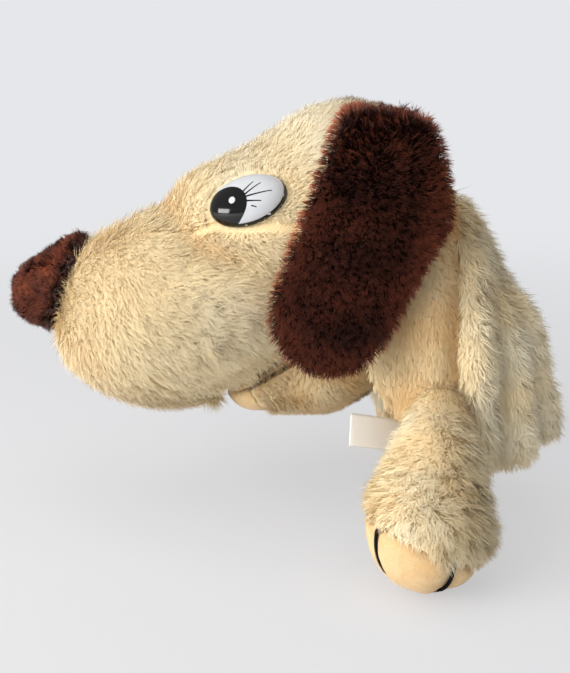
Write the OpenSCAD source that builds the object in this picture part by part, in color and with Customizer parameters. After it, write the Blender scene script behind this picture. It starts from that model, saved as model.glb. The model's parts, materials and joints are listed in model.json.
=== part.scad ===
// Plush dog hand puppet, worn over the hand: the fingers work the head, the thumb works the jaw.
// Millimetres, +Z up, nose towards -X, the dog's left side towards -Y.
// The origin is the middle of the sleeve's mouth, where the hand goes in.

/* [Head] */
// Diameter of the round skull
skull_d = 88; // [78:1:106]
// How far the skull's middle lies ahead of the sleeve mouth's middle
skull_ahead = 58; // [50:1:66]
// Height of the skull's middle above the sleeve mouth
skull_z = 97; // [88:1:108]
// Length of the muzzle's ball, front to back
muzzle_l = 92; // [76:1:110]
// Width of the muzzle's ball
muzzle_w = 86; // [72:1:104]
// Height of the muzzle's ball
muzzle_h = 82; // [68:1:98]
// How far the muzzle's middle lies ahead of the skull's middle
muzzle_ahead = 74; // [62:1:88]
// How far the muzzle's middle lies below the skull's middle
muzzle_drop = 43; // [36:1:50]
// Width of the strip that is sewn over the crown between the side panels
crown_w = 34; // [24:1:44]

/* [Hand space] */
// Bore of the neck hole between the sleeve and the head
neck_bore = 60; // [50:1:72]
// Slope of the neck hole below level, in degrees
neck_slope = 52; // [44:1:60]
// Width of the finger pocket in the head
pocket_w = 62; // [50:1:66]
// Height of the finger pocket at the knuckles
pocket_h = 44; // [34:1:50]
// Height of the finger pocket at the fingertips
pocket_tip_h = 32; // [24:1:38]
// Thickness of the pocket's lining
lining_t = 1.5; // [1:0.1:2]

/* [Nose] */
// Width of the nose across its root
nose_w = 40; // [32:1:48]
// Height of the nose across its root
nose_h = 42; // [34:1:48]
// How far the nose stands out from the muzzle
nose_out = 18; // [14:1:22]
// Tilt of the nose above level, in degrees
nose_tilt = 17; // [8:1:22]

/* [Eyes] */
// Length of an eye's oval
eye_l = 31; // [25:0.5:38]
// Width of an eye's oval
eye_w = 20.5; // [17:0.5:25]
// Height of an eye's dome
eye_h = 5.5; // [4.5:0.5:7.5]
// Angle of the eye round the head from the crown, in degrees
eye_round = 53; // [46:1:60]
// Place of the eye from the muzzle, at 0, to the skull, at 1
eye_place = 0.68; // [0.56:0.02:0.84]
// Turn of the oval, rising towards the back, in degrees
eye_turn = 19; // [8:1:26]
// Diameter of the eye's post
post_d = 4.4; // [3.6:0.2:5.2]
// Diameter of the washer that locks the post
washer_d = 14; // [11:0.5:17]
// Thickness of the washer
washer_t = 1.4; // [1:0.1:1.8]

/* [Ears] */
// Drop of the ear from its root to its tip
ear_l = 98; // [82:1:116]
// Width of the ear at its tip
ear_tip_w = 46; // [38:1:56]
// Width of the ear along its root
ear_root_w = 40; // [32:1:48]
// How far the ear's tip lies ahead of the skull's middle
ear_tip_ahead = 7; // [0:1:14]
// How far the ear's root lies behind the skull's middle
ear_root_back = 14; // [8:1:20]
// Distance of the ear's root from the crown's middle
ear_root_y = 17; // [13:1:22]
// Thickness of each of the ear's two layers
ear_t = 3.6; // [2.8:0.1:4.4]

/* [Jaw] */
// Length of the lower jaw from its heel to its lip
jaw_l = 63; // [54:1:74]
// Width of the lower jaw
jaw_w = 52; // [44:1:58]
// Depth of the lower jaw at the throat
jaw_h = 33; // [29:1:38]
// Depth of the lower jaw at its lip
lip_h = 18; // [15:1:21]
// How far the mouth stands open as it rests, in degrees
jaw_rest = 2; // [1:0.5:4]
// Height of the palate above the head's lowest line
palate_in = 9.5; // [8:0.5:11]
// Thickness of the stiff board behind each half of the mouth
board_t = 1.5; // [1:0.1:2]
// Width of the thumb's way into the jaw
thumb_w = 24; // [20:1:28]
// Height of the thumb's way into the jaw
thumb_h = 17; // [14:1:20]

/* [Sleeve] */
// Front to back size of the sleeve's mouth
mouth_l = 66; // [56:1:78]
// Width of the sleeve's mouth
mouth_w = 92; // [80:1:108]
// Front to back size of the sleeve's fullest part
body_l = 86; // [74:1:102]
// Width of the sleeve's fullest part
body_w = 92; // [80:1:108]
// Height of the sleeve's fullest part above its mouth
body_z = 38; // [32:1:44]
// How far the sleeve swells above and below its fullest part
body_h = 70; // [60:1:78]
// How far the fullest part lies ahead of the mouth's middle
body_ahead = 14; // [8:1:18]
// Height of the turned-up hem
hem_h = 12; // [8:1:16]
// How far the side seams lie ahead of the mouth's middle
seam_ahead = 16; // [10:1:22]
// Thickness of the turned-up hem
hem_t = 2; // [1.4:0.1:2.6]

/* [Arms] */
// Length of the arm from the shoulder's middle to the paw's middle
arm_l = 44; // [36:1:54]
// Diameter of the shoulder that is sewn into the sleeve
shoulder_d = 26; // [22:1:30]
// Diameter of the paw
paw_d = 45; // [38:1:52]
// How far the arm hangs out from straight down, in degrees
arm_out = 38; // [34:1:46]
// How far the left arm hangs forward from straight down, in degrees
arm_ahead = 11; // [4:1:16]
// How far the right arm hangs back from straight down, in degrees
arm_behind = 10; // [0:1:14]
// Distance of the shoulder ahead of the sleeve mouth's middle
shoulder_ahead = 22; // [16:1:28]
// Height of the shoulder above the sleeve mouth
shoulder_z = 24; // [20:1:30]
// Diameter of the yarn of the toe stitches
yarn_d = 1.5; // [1.2:0.1:2.2]
// How far the paw's toes point forward from straight out, in degrees
toe_turn = 23; // [0:1:40]
// Angle of each toe stitch from the middle of the toes, in degrees
toe_spread = 43; // [24:1:50]

/* [Tag] */
// Length of the tag
tag_l = 26; // [18:1:34]
// Width of the tag
tag_w = 13; // [10:1:18]
// Thickness of the folded tag
tag_t = 0.8; // [0.6:0.1:1.2]

/* [Fabric] */
// Thickness of the plush, with its pile pressed down
plush_t = 5; // [4:0.5:6]
// Room between pieces that are sewn or seated together
seat = 0.3; // [0.2:0.05:0.5]
// Room between pieces that move past each other
room = 0.8; // [0.6:0.1:1.2]

/* [Hidden] */

// Facets round the soft forms, round the small domes and round turned pieces
form_fn = 26;
dome_fn = 30;
$fn = 48;
// Longer than any piece, for cuts that go right through
far = 300;

cream = "#f3dfb4";
peach = "#f0c690";
brown = "#5a2618";
filling = "#fbfaf5";
board_grey = "#b9b2a4";

skull_c = [-skull_ahead, 0, skull_z];
skull_r = skull_d / 2 * [1, 1, 1];
muzzle_c = skull_c - [muzzle_ahead, 0, muzzle_drop];
muzzle_r = [muzzle_l, muzzle_w, muzzle_h] / 2;

// The line from the muzzle's middle to the skull's middle
axis_v = skull_c - muzzle_c;
axis_n = axis_v / norm(axis_v);

// Outward normal of the head between its two balls, turned round its axis from the crown to the left
function stretch(r, n) = norm([r.x * n.x, r.y * n.y, r.z * n.z]);
function round_n(turn) = [-axis_n.z * cos(turn), -sin(turn), axis_n.x * cos(turn)];
function lean(turn) = asin((skull_d / 2 - stretch(muzzle_r, round_n(turn))) / norm(axis_v));
function head_n(turn) = cos(lean(turn)) * round_n(turn) - sin(lean(turn)) * axis_n;

// The point where a plane with normal n touches an ellipsoid, and a point on the head between its balls
function touch(c, r, n) = c + [for (i = [0:2]) r[i] * r[i] * n[i]] / stretch(r, n);
function head_point(turn, place) =
    let (n = head_n(turn))
    (1 - place) * touch(muzzle_c, muzzle_r, n) + place * touch(skull_c, skull_r, n);

// The mouth's frame: X backwards along the head's lowest line, Z into the head
chin_n = head_n(180);
chin_back = touch(skull_c, skull_r, chin_n);
chin_front = touch(muzzle_c, muzzle_r, chin_n);
mouth_pitch = atan2(chin_back.z - chin_front.z, chin_back.x - chin_front.x);
// How far the jaw's hinge lies ahead of the chin line's back end
hinge_ahead = 10;
chin_dir = [cos(mouth_pitch), 0, sin(mouth_pitch)];
hinge_line = chin_back - hinge_ahead / cos(mouth_pitch) * chin_dir;
// The palate's layers, from the stuffing down, and the jaw's top face
board_top = palate_in - seat;
lining_top = board_top - board_t - seat;
lining_low = lining_top - lining_t;
jaw_top = lining_low - room / 2;
jaw_hinge = hinge_line + jaw_top * [-sin(mouth_pitch), 0, cos(mouth_pitch)];
// The jaw's heel lies this far ahead of its hinge
jaw_heel = 6;
throat_r = [22, jaw_w / 2, 24];
throat_c = [-jaw_heel - throat_r.x, 0, throat_r.z - jaw_h];
lip_r = [15, jaw_w / 2 - 3, 14];
lip_c = [lip_r.x - jaw_heel - jaw_l, 0, lip_r.z - lip_h];
// The mouth's cut in the head ends this far past the jaw's lip and past its hinge
lip_room = 4;
mouth_front = -jaw_heel - jaw_l - lip_room;
mouth_back = 8;

// The eye's rim is let into the plush; its post reaches through the plush and past the washer
eye_rim = 1.2;
washer_in = plush_t + 2 * washer_t;
post_l = washer_in + 2 * washer_t;

// The nose: a broad root sunk in the muzzle's front and a slimmer tip, in the nose's own frame
nose_root_c = [4 - muzzle_l / 2, 0, 1];
nose_root_r = [11, nose_w / 2, nose_h / 2];
nose_tip_r = [12, nose_w / 2 - 5, nose_h / 2 - 6];
nose_tip_c = [nose_tip_r.x - nose_out - muzzle_l / 2, 0, -6];

// The finger pocket: knuckles in the skull, fingertips in the muzzle
knuckle_c = skull_c + [0, 0, -2];
knuckle_r = [28, pocket_w / 2, pocket_h / 2];
tip_c = muzzle_c + [20, 0, 12];
tip_r = [22, pocket_w / 2 - 5, pocket_tip_h / 2];

// How far the head nods down, in degrees: the sleeve's neck is cut clear of it
nod_low = 5;
// The sleeve follows the skull at its neck
sleeve_neck_c = skull_c + [18, 0, -13];
sleeve_neck_r = skull_d / 2 * [1, 1, 1] - [10, 6, 10];
body_c = [-body_ahead, 0, body_z];
body_r = [body_l, body_w, body_h] / 2;
// The throat is the gap in the sleeve's front where the jaw's heel and the thumb pass
throat_w = jaw_w + 4 * room;
throat_low = 8;
thumb_room = 20;
throat_back = jaw_hinge.x + thumb_room;
seam_x = -seam_ahead;

// Shoulders sit in the sleeve's side, half sunk in its wall
shoulder_c = [-shoulder_ahead, -body_w / 2 - 4, shoulder_z];
function arm_swing(side) = side == "left" ? arm_ahead : -arm_behind;
function arm_dir(swing) = [-sin(swing), -sin(arm_out) * cos(swing), -cos(arm_out) * cos(swing)];
function paw_c(side) = shoulder_c + arm_l * arm_dir(arm_swing(side));
// The edge of the paw's pad: its height from the paw's middle, its rise to the front and to the outside
pad_edge = -1;
pad_front = 23;
pad_outside = 8;
// The toe stitches run from this far above level to this far below it, in degrees
toe_high = 12;
toe_front_low = 40;
toe_rear_low = 58;

// The tag is sewn into the sleeve's front, beside the arm: where it leaves the sleeve, and how it stands
tag_root = [-mouth_l / 2 - 1, -mouth_w / 2 + 14, 10];
tag_turn = 14;
tag_stand = 62;
tag_rise = 12;
tag_in = 2;

// Ear outline, as circles in the side view: [x, z, radius] from the skull's middle
ear_corner_r = 9;
ear_top = skull_d / 2 - 2;
ear_tip_r = ear_tip_w / 2;
ear_front = ear_root_back - ear_root_w / 2;
ear_rear = ear_root_back + ear_root_w / 2;
// The rear corner sits lower than the front one, and the rear edge swells a third of the way down
ear_rear_drop = 4;
ear_swell = 4;
ear_swell_at = 0.35;
ear_rounds = [
    [ear_front + ear_corner_r, ear_top - ear_corner_r, ear_corner_r],
    [ear_rear - ear_corner_r, ear_top - ear_corner_r - ear_rear_drop, ear_corner_r],
    [ear_rear - ear_tip_r + ear_swell, ear_top - ear_swell_at * ear_l, ear_tip_r],
    [-ear_tip_ahead, ear_top - ear_l + ear_tip_r, ear_tip_r]];
// The ears are flatter than the skull, front to back, and hang this far down past it, clear of the sleeve
ear_bow = 76;
ear_hang = 60;
ear_root_r = [ear_bow, skull_d / 2, skull_d / 2];
ear_hang_r = [ear_bow, max(skull_d, body_w) / 2 + 2 * room, skull_d / 2];

echo(jaw_hinge = jaw_hinge, mouth_pitch = mouth_pitch, skull_c = skull_c);
echo(shoulder_c = shoulder_c, left_paw_c = paw_c("left"), right_paw_c = paw_c("right"));
echo(ear_hinge = [skull_c.x, -ear_root_y, skull_z + sqrt(pow(skull_d / 2 + room, 2) - pow(ear_root_y, 2))]);
echo(eye = head_point(eye_round, eye_place), eye_n = head_n(eye_round));

// Shared shapes

module ellipsoid(c, r, grow = 0) {
    translate(c)
        scale(r + grow * [1, 1, 1])
            sphere(1, $fn = form_fn);
}

module mirrored(side) {
    mirror([0, side == "right" ? 1 : 0, 0])
        children();
}

module head_form(grow = 0) {
    hull() {
        ellipsoid(muzzle_c, muzzle_r, grow);
        ellipsoid(skull_c, skull_r, grow);
    }
}

module pocket_form(grow = 0) {
    hull() {
        ellipsoid(knuckle_c, knuckle_r, grow);
        ellipsoid(tip_c, tip_r, grow);
    }
}

module neck_hole(grow = 0) {
    translate(skull_c)
        rotate([0, 90 + neck_slope, 0])
            cylinder(d = neck_bore + 2 * grow, h = skull_d);
}

module mouth_frame() {
    translate(hinge_line)
        rotate([0, -mouth_pitch, 0])
            children();
}

module jaw_frame() {
    translate(jaw_hinge)
        rotate([0, -mouth_pitch - jaw_rest, 0])
            children();
}

// A slab across the mouth's cut, between two heights in the mouth's frame
module mouth_slab(low, high, inset = 0) {
    mouth_frame()
        translate([mouth_front + inset, -far / 2, low])
            cube([mouth_back - mouth_front - 2 * inset, far, high - low]);
}

module jaw_form(grow = 0) {
    intersection() {
        hull() {
            ellipsoid(throat_c, throat_r, grow);
            ellipsoid(lip_c, lip_r, grow);
        }
        translate([-far / 2, -far / 2, -far])
            cube([far, far, far]);
    }
}

module sleeve_form(grow = 0, low = 0) {
    hull() {
        translate([0, 0, low])
            linear_extrude(1)
                scale([mouth_l / 2 + grow, mouth_w / 2 + grow])
                    circle(1, $fn = 2 * form_fn);
        ellipsoid(body_c, body_r, grow);
        ellipsoid(sleeve_neck_c, sleeve_neck_r, grow);
    }
}

// An arm, and the parts of it below, as they lie before they are mirrored to their side
module arm_form(side, grow = 0) {
    hull() {
        ellipsoid(shoulder_c, shoulder_d / 2 * [1, 1, 1], grow);
        ellipsoid(paw_c(side), paw_d / 2 * [1, 1, 1], grow);
    }
}

// Everything below the edge of the paw's pad
module pad_side(side, lift = 0) {
    translate(paw_c(side) + [0, 0, pad_edge + lift])
        rotate([-pad_outside, pad_front, 0])
            translate([-far / 2, -far / 2, -far])
                cube([far, far, far]);
}

module eye_frame() {
    n = head_n(eye_round);
    translate(head_point(eye_round, eye_place))
        rotate([0, 0, -atan2(-n.x, -n.y)])
            rotate([90 - asin(n.z), 0, 0])
                rotate([0, 0, eye_turn])
                    children();
}

// An eye's oval dome on its rim, and the post behind it
module eye_form(grow = 0) {
    eye_frame() {
        translate([0, 0, -eye_rim])
            intersection() {
                scale([eye_l / 2 + grow, eye_w / 2 + grow, eye_h + eye_rim + grow])
                    sphere(1, $fn = dome_fn);
                translate([-far / 2, -far / 2, -grow])
                    cube(far);
            }
        translate([0, 0, -post_l - grow])
            cylinder(d = post_d + 2 * grow, h = post_l);
    }
}

module washer_form(grow = 0) {
    translate([0, 0, -washer_in - grow])
        cylinder(d = washer_d + 2 * grow, h = washer_t + 2 * grow);
}

module nose_form(grow = 0) {
    translate(muzzle_c)
        rotate([0, nose_tilt, 0])
            hull() {
                ellipsoid(nose_root_c, nose_root_r, grow);
                ellipsoid(nose_tip_c, nose_tip_r, grow);
            }
}

module tag_form(grow = 0) {
    translate(tag_root)
        rotate([0, 0, tag_turn])
            rotate([tag_stand, tag_rise, 0])
                translate([tag_in - tag_l, -tag_w / 2, 0] - grow * [1, 1, 1])
                    cube([tag_l, tag_w, tag_t] + 2 * grow * [1, 1, 1]);
}

// The surface that an ear lies on: the head, hanging straight down from its widest line
module ear_carrier(grow) {
    hull() {
        ellipsoid(skull_c, ear_root_r, grow);
        ellipsoid(muzzle_c, muzzle_r, grow);
        ellipsoid(skull_c - [0, 0, ear_hang], ear_hang_r, grow);
        ellipsoid(muzzle_c - [0, 0, ear_hang], muzzle_r, grow);
    }
}

module ear_outline() {
    hull()
        for (c = ear_rounds)
            translate([skull_c.x + c[0], skull_c.z + c[1]])
                circle(c[2], $fn = form_fn);
}

module ear_layer(inner, side) {
    mirrored(side)
        intersection() {
            difference() {
                ear_carrier(inner + ear_t);
                ear_carrier(inner);
            }
            translate([0, -ear_root_y, 0])
                rotate([90, 0, 0])
                    linear_extrude(far)
                        ear_outline();
        }
}

// Sleeve

module sleeve_wall() {
    difference() {
        sleeve_form();
        sleeve_form(-plush_t, -1);
        hull()
            for (nod = [0, -nod_low])
                translate(skull_c)
                    rotate([0, nod, 0])
                        translate(-skull_c)
                            head_form(room);
        translate([throat_back - far, -throat_w / 2, throat_low])
            cube([far, throat_w, skull_z - throat_low]);
        for (side = ["left", "right"])
            mirrored(side)
                arm_form(side, room);
        tag_form(seat);
    }
}

module sleeve_front_panel() {
    color(cream)
        intersection() {
            sleeve_wall();
            translate([seam_x - seat / 2 - far, -far / 2, -far / 2])
                cube(far);
        }
}

module sleeve_back_panel() {
    color(cream)
        intersection() {
            sleeve_wall();
            translate([seam_x + seat / 2, -far / 2, -far / 2])
                cube(far);
        }
}

module hem_band() {
    color(cream)
        intersection() {
            difference() {
                sleeve_form(-plush_t - seat, -1);
                sleeve_form(-plush_t - seat - hem_t, -2);
            }
            translate([-far / 2, -far / 2, 0])
                cube([far, far, min(hem_h, throat_low)]);
        }
}

module care_tag() {
    color("white")
        tag_form();
}

// Head

module head_wall() {
    difference() {
        head_form();
        head_form(-plush_t);
        neck_hole();
        mouth_slab(-far, palate_in);
    }
}

module head_side_panel(side) {
    color(cream)
        mirrored(side)
            difference() {
                intersection() {
                    head_wall();
                    translate([-far, -crown_w / 2 - seat / 2 - far, -far / 2])
                        cube([2 * far, far, far]);
                }
                eye_form(seat);
            }
}

module head_left_panel() {
    head_side_panel("left");
}

module head_right_panel() {
    head_side_panel("right");
}

module head_crown_strip() {
    color(cream)
        intersection() {
            head_wall();
            translate([-far, -crown_w / 2 + seat / 2, -far / 2])
                cube([2 * far, crown_w - seat, far]);
        }
}

module head_stuffing() {
    color(filling)
        difference() {
            head_form(-plush_t - seat);
            pocket_form(lining_t + seat);
            neck_hole(seat);
            mouth_slab(-far, palate_in);
            for (side = ["left", "right"])
                mirrored(side) {
                    eye_form(seat);
                    eye_frame()
                        washer_form(seat);
                }
        }
}

module finger_pocket() {
    color(peach)
        intersection() {
            difference() {
                union() {
                    pocket_form(lining_t);
                    neck_hole(-seat);
                }
                pocket_form();
                neck_hole(-seat - lining_t);
                mouth_slab(-far, palate_in);
            }
            head_form(-seat);
        }
}

module palate_board() {
    color(board_grey)
        difference() {
            intersection() {
                head_form(-plush_t);
                mouth_slab(board_top - board_t, board_top, plush_t);
            }
            neck_hole(seat);
        }
}

module palate_lining() {
    color(peach)
        difference() {
            intersection() {
                head_form(-seat);
                mouth_slab(lining_low, lining_top, seat);
            }
            neck_hole(seat);
        }
}

module nose_cover() {
    color(brown)
        difference() {
            nose_form();
            nose_form(-plush_t / 2);
            head_form(seat);
        }
}

module nose_stuffing() {
    color(filling)
        difference() {
            nose_form(-plush_t / 2 - seat);
            head_form(seat);
        }
}

module eye(side) {
    color("white")
        mirrored(side)
            eye_form();
}

module left_eye() {
    eye("left");
}

module right_eye() {
    eye("right");
}

module eye_washer(side) {
    color("gainsboro")
        mirrored(side)
            eye_frame()
                difference() {
                    washer_form();
                    translate([0, 0, -far / 2])
                        cylinder(d = post_d + seat, h = far);
                }
}

module left_eye_washer() {
    eye_washer("left");
}

module right_eye_washer() {
    eye_washer("right");
}

// Jaw

module jaw_cover() {
    color(cream)
        jaw_frame()
            difference() {
                jaw_form();
                jaw_form(-plush_t);
                translate([-far / 2, -far / 2, -lining_t - seat])
                    cube(far);
                translate([throat_c.x, -thumb_w / 2, -lining_t - board_t - 2 * seat - thumb_h])
                    cube([far, thumb_w, far]);
            }
}

module jaw_board() {
    color(board_grey)
        jaw_frame()
            intersection() {
                jaw_form(-plush_t - seat);
                translate([-far / 2, -far / 2, -lining_t - seat - board_t])
                    cube([far, far, board_t]);
            }
}

module jaw_lining() {
    color(peach)
        jaw_frame()
            intersection() {
                jaw_form();
                translate([-far / 2, -far / 2, -lining_t])
                    cube([far, far, lining_t]);
            }
}

// Ears

module left_ear_face() {
    color(brown)
        ear_layer(room + ear_t + seat, "left");
}

module left_ear_back() {
    color(brown)
        ear_layer(room, "left");
}

module right_ear_face() {
    color(brown)
        ear_layer(room + ear_t + seat, "right");
}

module right_ear_back() {
    color(brown)
        ear_layer(room, "right");
}

// Arms

module arm_wall(side) {
    difference() {
        arm_form(side);
        arm_form(side, -plush_t);
    }
}

module arm_cover(side) {
    color(cream)
        mirrored(side)
            difference() {
                arm_wall(side);
                pad_side(side);
            }
}

module arm_stuffing(side) {
    color(filling)
        mirrored(side)
            arm_form(side, -plush_t - seat);
}

module paw_pad(side) {
    color(peach)
        mirrored(side)
            intersection() {
                arm_wall(side);
                pad_side(side, -seat);
            }
}

// A length of yarn from the top of the paw over its tip onto the pad
module toe_stitch(side, turn, low) {
    translate(paw_c(side))
        rotate([0, 0, -90 - turn])
            rotate([90, 0, 0])
                rotate([0, 0, -low])
                    rotate_extrude(angle = low + toe_high)
                        translate([paw_d / 2 + yarn_d / 2 + seat, 0])
                            circle(d = yarn_d, $fn = 16);
}

module toe_stitches(side) {
    color("black")
        mirrored(side) {
            toe_stitch(side, toe_turn - toe_spread, toe_rear_low);
            toe_stitch(side, toe_turn + toe_spread, toe_front_low);
        }
}

module left_arm_cover() {
    arm_cover("left");
}

module left_arm_stuffing() {
    arm_stuffing("left");
}

module left_paw_pad() {
    paw_pad("left");
}

module left_toe_stitches() {
    toe_stitches("left");
}

module right_arm_cover() {
    arm_cover("right");
}

module right_arm_stuffing() {
    arm_stuffing("right");
}

module right_paw_pad() {
    paw_pad("right");
}

module right_toe_stitches() {
    toe_stitches("right");
}

sleeve_front_panel();
sleeve_back_panel();
hem_band();
care_tag();
head_left_panel();
head_right_panel();
head_crown_strip();
head_stuffing();
finger_pocket();
palate_board();
palate_lining();
nose_cover();
nose_stuffing();
left_eye();
right_eye();
left_eye_washer();
right_eye_washer();
jaw_cover();
jaw_board();
jaw_lining();
left_ear_face();
left_ear_back();
right_ear_face();
right_ear_back();
left_arm_cover();
left_arm_stuffing();
left_paw_pad();
left_toe_stitches();
right_arm_cover();
right_arm_stuffing();
right_paw_pad();
right_toe_stitches();
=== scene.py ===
"""Dresses the plush dog hand puppet on its CAD frame: pile, velour, plastic eyes, yarn, satin tag and stage."""

import json
import math

import bmesh
import bpy
import numpy as np
from bpy.props import FloatProperty, FloatVectorProperty, PointerProperty
from bpy.types import Operator, Panel, PropertyGroup
from mathutils import Matrix, Vector
from mathutils.bvhtree import BVHTree
from mathutils.kdtree import KDTree


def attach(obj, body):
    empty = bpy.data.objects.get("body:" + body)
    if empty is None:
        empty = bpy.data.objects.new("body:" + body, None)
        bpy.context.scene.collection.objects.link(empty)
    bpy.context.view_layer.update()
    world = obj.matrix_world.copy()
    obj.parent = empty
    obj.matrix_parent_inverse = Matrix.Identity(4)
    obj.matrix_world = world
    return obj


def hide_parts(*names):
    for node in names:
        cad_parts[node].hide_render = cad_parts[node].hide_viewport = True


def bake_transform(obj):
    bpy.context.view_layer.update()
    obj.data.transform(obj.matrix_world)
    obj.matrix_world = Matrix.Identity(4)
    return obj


bl_info = {
    "name": "Plush Dog Hand Puppet",
    "version": (1, 0, 0),
    "blender": (4, 5, 0),
    "location": "View3D > Sidebar > Puppet",
    "description": "Dresses the hand puppet's frame in pile, velour, plastic, yarn and satin",
    "category": "Add Mesh",
}

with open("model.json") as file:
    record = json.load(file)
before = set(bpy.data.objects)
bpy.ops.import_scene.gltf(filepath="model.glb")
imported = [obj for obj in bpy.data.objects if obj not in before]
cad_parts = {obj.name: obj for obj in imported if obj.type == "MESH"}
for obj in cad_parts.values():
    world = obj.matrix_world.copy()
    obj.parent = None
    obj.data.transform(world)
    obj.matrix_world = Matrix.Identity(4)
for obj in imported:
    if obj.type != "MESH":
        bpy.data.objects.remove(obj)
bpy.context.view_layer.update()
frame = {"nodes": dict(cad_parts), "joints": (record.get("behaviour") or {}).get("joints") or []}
PIVOT = {joint["name"]: np.array(joint["pos_m"]) for joint in frame["joints"]}
MM = 0.001
UP = np.array([0, 0, 1])
SIDES = ("left", "right")


def pitched(angle):
    """Directions along and out of a line that is pitched in the plane of symmetry."""
    return np.array([math.cos(angle), 0, math.sin(angle)]), np.array([-math.sin(angle), 0, math.cos(angle)])


# Places on the frame, as the part's source gives them
SKULL = PIVOT["head_nod"]
HINGE = PIVOT["jaw_open"]
MUZZLE = SKULL + MM * np.array([-74, 0, -43])
NOSE_TIP = MUZZLE + MM * np.array([-60, 0, 8])
MOUTH_PITCH = math.radians(28.97)
MOUTH_UP = pitched(MOUTH_PITCH)[1]
JAW_ALONG, JAW_UP = pitched(MOUTH_PITCH + math.radians(2))
MOUTH_FRONT = -72 * MM
MOUTH_BACK = 8 * MM
MOUTH_HALF = 27 * MM
MOUTH_HIGH = 24 * MM
PALATE = 5.5 * MM
EYE_POINT = MM * np.array([-96.085, -34.934, 105.036])
EYE_NORMAL = Vector((-0.3149, -0.7986, 0.5130))
EYE_TURN = math.radians(19)
EYE_AXES = np.array(Matrix.Rotation(-math.atan2(-EYE_NORMAL.x, -EYE_NORMAL.y), 3, "Z")
                    @ Matrix.Rotation(math.pi / 2 - math.asin(EYE_NORMAL.z), 3, "X")
                    @ Matrix.Rotation(EYE_TURN, 3, "Z"))
EYE_HALF = MM * np.array([15.5, 10.25])
PAW = {"left": MM * np.array([-30.40, -76.59, -10.04]), "right": MM * np.array([-14.36, 76.68, -10.15])}
PAW_R = 22.5 * MM
PAW_LOW = -33.2 * MM
PAD_UP = np.array([0.387, 0.139, 0.911])
SHOULDER = MM * np.array([-22, -50, 24])
SEAM_X = -16 * MM
TAG_ROOT = Vector((-0.034, -0.032, 0.010))
TAG_TURN = (Matrix.Rotation(math.radians(14), 3, "Z") @ Matrix.Rotation(math.radians(12), 3, "Y")
            @ Matrix.Rotation(math.radians(62), 3, "X"))

# Places of the soft forms
BROW_FOLD = MM * np.array([[-131, 0, 99], [-126, -22, 95], [-116, -34, 87], [-97, -43, 81], [-82, -45, 74]])
BROW = MM * np.array([-100, -24, 116])
FULL_CHEEK = MM * np.array([-128, -40, 62])
CHEEK_TUFTS = MM * np.array([-106, -42, 48])
PILE_SPLIT = -108 * MM
# Strands grow this far in under an eye, and belong to it up to this far from its plane
EYE_LAP = 4.5 * MM
EYE_REACH = 15 * MM
LIP_SEAM = -56.5 * MM
EAR_SPINE = MM * np.array([[-46, 0, 128], [-50, 0, 104], [-62, 0, 70]])
EAR_MIDDLE = MM * np.array([-54, 0, 92])
SLEEVE_X = -10 * MM
# How fast the folds follow each other round the sleeve's back, where they start, and where its full edge stands
FOLD_RATE = 14
FOLD_SHIFT = 0.43
CREST_TURN = 1.38
NECK_START = MM * np.array([-12, 0, 48])
NECK_END = MM * np.array([-40, 0, 92])
PAD_EDGE = np.array([0.37, 0.28, 0.885])
# In degrees: bearing of each toe stitch on the paw and height of its lower end, height of the upper ends, and how far
# the hook of a stitch turns
TOES = ((-20, -58), (66, -40))
TOE_TOP = 12
HOOK_TURN = 40
# Middle, radius and stretch of the printed pupil and of its glint, in millimetres from the eye's middle
PUPIL = (-8.4, -2.3, 9.8, 1.27)
GLINT = (-4.45, -1.27, 1.3, 1.0)
PRINT_EDGE = 0.12
# Start and end of each printed lash, in millimetres from the eye's middle
LASHES = (((0.1, 0.6, 0), (4.5, 4.2, 0)), ((0.6, -0.7, 0), (7.1, 3.0, 0)), ((0.9, -1.5, 0), (10.8, -0.85, 0)),
          ((0.8, -3.1, 0), (6.4, -4.2, 0)), ((0.5, -4.3, 0), (4.2, -6.0, 0)))
LASH_WIDTH = 0.34


# Settings

def in_mm(name, description, millimetres):
    """A length property, given in millimetres."""
    return FloatProperty(name=name, description=description, default=millimetres * MM, min=0.0, unit="LENGTH")


def in_degrees(name, description, degrees):
    """An angle property, given in degrees."""
    return FloatProperty(name=name, description=description, default=math.radians(degrees), min=0.0, max=1.5,
                         subtype="ANGLE")


def in_watts(name, description, watts):
    """A lamp's power property."""
    return FloatProperty(name=name, description=description, default=watts, min=0.0, unit="POWER")


def to_light(value):
    """A screen value from 0 to 255 as linear light."""
    share = value / 255
    return share / 12.92 if share <= 0.04045 else ((share + 0.055) / 1.055) ** 2.4


def tint(name, description, red, green, blue):
    """A colour property, given as the screen shows it, from 0 to 255."""
    return FloatVectorProperty(name=name, description=description, subtype="COLOR", size=3, min=0.0, max=1.0,
                               default=[to_light(value) for value in (red, green, blue)])


def pile_group(class_name, label, length, density, width, lean, clump, under):
    """A property group for one pile, with its own defaults: sizes in millimetres, lean in degrees."""
    return type(class_name, (PropertyGroup,), {"__doc__": f"The {label} pile.", "__annotations__": {
        "length": in_mm("Length", f"Fibre length of the {label} pile", length),
        "width": in_mm("Width", f"Width of a strand of the {label} pile", width),
        "clump": in_mm("Clump", f"Distance between the locks of the {label} pile", clump),
        "under": in_mm("Under", f"Depth of the {label} ground cloth below the frame's faces", under),
        "density": FloatProperty(name="Density", description=f"Strands to the square millimetre of the {label} pile",
                                 default=density, min=0.01),
        "lean": in_degrees("Lean", f"Lean of the {label} pile from upright", lean),
    }})


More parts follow.
